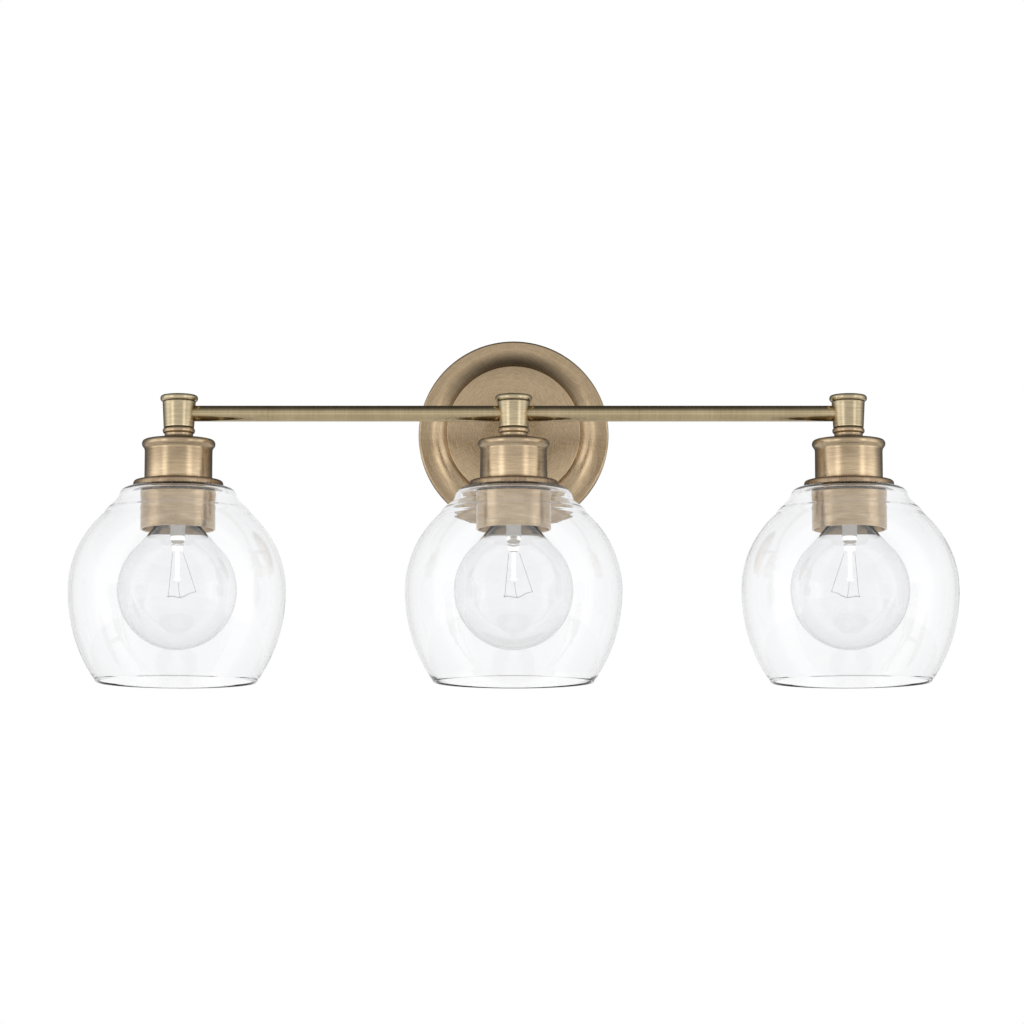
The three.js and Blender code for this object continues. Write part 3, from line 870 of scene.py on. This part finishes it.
def make_canopy():
    """The round backplate: a rim, a cove that climbs to a raised flat disc, and a hollow back."""
    low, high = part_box("canopy")
    wall_plane = Vector((0, 0, 0))
    radius, back, depth = (high.x - low.x) / 2 / MM, -high.y / MM, -low.y / MM
    disc, wall, rim, lip, hole = radius - 19.7, 1.2, depth - 14.8, 1.6, 5.4
    rise = depth - 0.9 - rim - lip
    width = radius - 4 - disc
    outside = [
        (radius, back),
        (radius, rim),
        *arc((radius - 1.7, rim), (1.7, lip), 10, 90, 6),
        *arc((radius - 4, rim + lip + rise), (width, rise + 0.4), -90, -180, 20),
        (disc, depth),
        (hole, depth),
    ]
    inside = [
        (hole, depth - wall),
        (disc - wall, depth - wall),
        *arc((radius - 4 - wall, rim + lip + rise - wall), (width, rise), -180, -90, 10),
        (radius - wall, rim + lip - wall),
        (radius - wall, back),
    ]
    return turned("brass_canopy", wall_plane, [*outside, *inside], along=-Y, sides=160, edge=0.5)


def make_strap_screw(name, node):
    """A pan-headed screw with a driver slot."""
    low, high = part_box(node)
    centre = Vector(((low.x + high.x) / 2, 0, (low.z + high.z) / 2))
    head, tip, top = (high.x - low.x) / 2 / MM, -high.y / MM, -low.y / MM
    shank, face = head - 1.8, top - 2.1
    profile = [
        (0, tip),
        *steps_between(shank, tip + 0.2, face),
        (head, face),
        *sweep((head, face + 0.9), (head - 0.3, face + 1.6), (head - 1.8, top), (0, top), 8),
    ]
    screw = turned(name, centre, profile, along=-Y, sides=40, edge=0.1)
    start_fresh()
    place = centre - Y * top * MM
    bpy.ops.mesh.primitive_cube_add(size=1, location=place, scale=(3 * head * MM, 1.8 * MM, 0.9 * MM))
    slot_cutter = bpy.context.object
    apply_modifier(screw, "BOOLEAN", operation="DIFFERENCE", object=slot_cutter, solver="EXACT")
    bpy.data.objects.remove(slot_cutter)
    return settle(screw, name)


def make_washer():
    """The washer under the nut that holds the arm."""
    low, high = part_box("arm_washer")
    centre = Vector((0, high.y, 0))
    radius, thick = (high.x - low.x) / 2 / MM, (high.y - low.y) / MM
    profile = [(5.5, 0), (radius, 0), (radius, thick), (5.5, thick)]
    return turned("steel_washer", centre, profile, along=-Y, sides=64, edge=0.2)


# ---- Assembly --------------------------------------------------------------------------------

for_each_lamp(make_hub(), "brass_hub", "hub", hub_brass)
for_each_lamp(make_cap(), "brass_cap", "hub_cap", hub_brass)
for_each_lamp(make_neck(), "brass_neck", "neck_ring", cup_brass)
for_each_lamp(make_cup(), "brass_cup", "socket_cup", cup_brass)
for_each_lamp(make_flange(), "brass_flange", "shade_flange", ring_brass)
for_each_lamp(make_collar(), "brass_collar", "collar", cup_brass, "collar_{lamp}")
for_each_lamp(make_shade(), "glass_shade", "shade", shade_glass, "shade_{lamp}")
for_each_lamp(make_globe(), "bulb_globe", "bulb_envelope", bulb_glass, "bulb_{lamp}")
for_each_lamp(make_screw_base(), "bulb_screw_base", "bulb_base", cap_nickel, "bulb_{lamp}")
for_each_lamp(make_stem(), "bulb_glass_stem", "bulb_stem", stem_glass, "bulb_{lamp}")
for_each_lamp(make_socket(), "socket_insulator", "socket_body", insulator_grey)
for_each_lamp(make_shell(), "socket_shell", "screw_shell", contact_brass)
for_each_lamp(make_contact(), "socket_contact", "centre_contact", contact_brass)
for_each_lamp(make_nipple(), "threaded_nipple", "nipple", zinc_steel)
for lamp in LAMPS:
    wires = make_bulb_wires(lamp)
    stand_for(wires, f"bulb_filament_{lamp}", filament_metal, f"bulb_{lamp}")

stand_for(make_tube("brass_bar_left", "bar_left", X), "bar_left", bar_brass)
stand_for(make_tube("brass_bar_right", "bar_right", X), "bar_right", bar_brass)
stand_for(make_tube("brass_arm", "arm_tube", Y), "arm_tube", bar_brass)
stand_for(make_canopy(), "canopy", plate_brass)
stand_for(make_washer(), "arm_washer", zinc_steel)
for side in ("left", "right"):
    screw = make_strap_screw(f"steel_box_screw_{side}", f"box_screw_{side}")
    stand_for(screw, f"box_screw_{side}", zinc_steel)
stand_for(make_strap_screw("green_ground_screw", "ground_screw"), "ground_screw", green_dip)

CAD_FINISHES = {
    "wall_strap": zinc_steel,
    "arm_nut": zinc_steel,
    "canopy_screw_left": zinc_steel,
    "canopy_screw_right": zinc_steel,
    "wire_hot": black_sleeve,
    "wire_neutral": white_sleeve,
    "wire_ground": bare_copper,
}
for node, finish in CAD_FINISHES.items():
    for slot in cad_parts[node].material_slots:
        slot.material = finish


# ---- Floor, light and camera -----------------------------------------------------------------


FLOOR_RADIUS = 6.5
FLOOR_PLACE = (0, -0.3, -1.9)
FLOOR_GLOW = 0.42
CAMERA_RISE = math.radians(7.1)
CAMERA_DISTANCE = 2.5
CAMERA_LENS = 132.9


def make_floor():
    """A plain disc of pale paper, low enough to leave the views from below free."""
    start_fresh()
    bpy.ops.mesh.primitive_circle_add(
        vertices=96, radius=FLOOR_RADIUS, fill_type="NGON", location=FLOOR_PLACE
    )
    floor = bpy.context.object
    floor.name = "studio_floor"
    material, tree, shader = new_material("floor_paper")
    place = add_node(tree, "TexCoord").outputs["Object"]
    fibre = add_node(tree, "TexNoise", {"Vector": place, "Scale": 40, "Detail": 4})
    tone = blended(tree, fibre.outputs["Fac"], (0.80, 0.80, 0.80, 1), (0.86, 0.86, 0.85, 1))
    tree.links.new(tone, shader.inputs["Base Color"])
    shader.inputs["Roughness"].default_value = 0.7
    shader.inputs["Emission Color"].default_value = (1, 1, 1, 1)
    shader.inputs["Emission Strength"].default_value = FLOOR_GLOW
    floor.data.materials.append(material)


def ramp(tree, value, stops):
    """A level of grey read from a value, by stops of position and level."""
    made = add_node(tree, "ValToRGB", {"Fac": value})
    elements = made.color_ramp.elements
    while len(elements) < len(stops):
        elements.new(0.5)
    for element, (position, level) in zip(elements, stops):
        element.position = position
        element.color = (level, level, level, 1)
    return made.outputs["Color"]


# Brightness of the room that the metal reflects: by the angle from the front, by height, and behind.
ROUND = [
    (0.0, 0.54), (0.17, 0.54), (0.215, 1.25), (0.255, 1.25), (0.3, 0.66), (0.42, 0.92), (1.0, 0.92),
]
HEIGHT = [
    (0.0, 1.0), (0.3, 1.0), (0.39, 2.0), (0.46, 1.7), (0.52, 1.15), (0.56, 1.1), (0.62, 1.5), (0.68, 1.5),
    (0.75, 1.05), (0.82, 0.8), (0.89, 0.52), (0.95, 0.3), (1.0, 0.14),
]
BEHIND = [(0.0, 1.0), (0.47, 1.0), (0.55, 0.8), (0.62, 0.5), (0.72, 0.33), (0.86, 0.15), (1.0, 0.08)]
NEAR_LEVEL = [(0.0, 0.0), (0.3, 0.0), (0.4, 1.0), (0.62, 1.0), (0.72, 0.0), (1.0, 0.0)]
# What the glass mirrors: white behind, and a soft bright window on each side.
GLASS_ROUND = [(0.0, 0.84), (0.3, 0.84), (0.36, 1.3), (0.48, 1.3), (0.55, 0.85), (0.8, 0.82), (1.0, 0.95)]
GLASS_HEIGHT = [(0.0, 0.9), (0.15, 0.85), (0.3, 1.0), (0.7, 1.0), (0.85, 0.85), (1.0, 0.9)]


def make_studio():
    """A white backdrop seen straight on or through glass, and a room for the metal and glass to mirror."""
    world = bpy.data.worlds.new("studio")
    bpy.context.scene.world = world
    world.use_nodes = True
    tree = world.node_tree
    tree.nodes.clear()
    direction = add_node(tree, "TexCoord").outputs["Generated"]
    parts = add_node(tree, "SeparateXYZ", {"Vector": direction})
    front = maths(tree, "MULTIPLY", parts.outputs["Y"], -1)
    turn = maths(tree, "ABSOLUTE", maths(tree, "ARCTAN2", parts.outputs["X"], front))
    turn = maths(tree, "DIVIDE", turn, math.pi)
    height = maths(tree, "MULTIPLY_ADD", parts.outputs["Z"], 0.5, 0.5)
    depth = maths(tree, "MULTIPLY_ADD", parts.outputs["Y"], 0.5, 0.5)
    sides = blended(tree, ramp(tree, height, NEAR_LEVEL), (0.58, 0.58, 0.58, 1), ramp(tree, turn, ROUND))
    metal_room = blended(tree, 1.0, sides, ramp(tree, height, HEIGHT), "MULTIPLY")
    metal_room = blended(tree, 1.0, metal_room, ramp(tree, depth, BEHIND), "MULTIPLY")
    glass_room = blended(
        tree, 1.0, ramp(tree, turn, GLASS_ROUND), ramp(tree, height, GLASS_HEIGHT), "MULTIPLY"
    )
    path = add_node(tree, "LightPath")
    mirrored = blended(tree, path.outputs["Is Singular Ray"], metal_room, glass_room)
    bounces = maths(tree, "ADD", path.outputs["Glossy Depth"], path.outputs["Diffuse Depth"])
    unbounced = maths(tree, "LESS_THAN", bounces, 0.5)
    straight = maths(tree, "MULTIPLY", path.outputs["Is Transmission Ray"], unbounced)
    straight = maths(tree, "MAXIMUM", straight, path.outputs["Is Camera Ray"])
    seen = blended(tree, straight, mirrored, (1, 1, 1, 1))
    background = add_node(tree, "Background", {"Color": seen, "Strength": 1.0})
    output = tree.nodes.new("ShaderNodeOutputWorld")
    tree.links.new(background.outputs[0], output.inputs["Surface"])


def make_camera():
    """A long lens, straight in front of the bar and a little below it."""
    aim = Vector((HOME.x - 0.0011, HOME.y, -0.0658))
    towards = Vector((0, math.cos(CAMERA_RISE), math.sin(CAMERA_RISE)))
    data = bpy.data.cameras.new("camera")
    data.lens = CAMERA_LENS
    data.sensor_width = 36
    camera = bpy.data.objects.new("camera", data)
    camera.location = aim - towards * CAMERA_DISTANCE
    camera.rotation_euler = towards.to_track_quat("-Z", "Y").to_euler()
    bpy.context.scene.collection.objects.link(camera)
    bpy.context.scene.camera = camera


make_floor()
make_studio()
make_camera()
bpy.context.scene.view_settings.view_transform = "Standard"
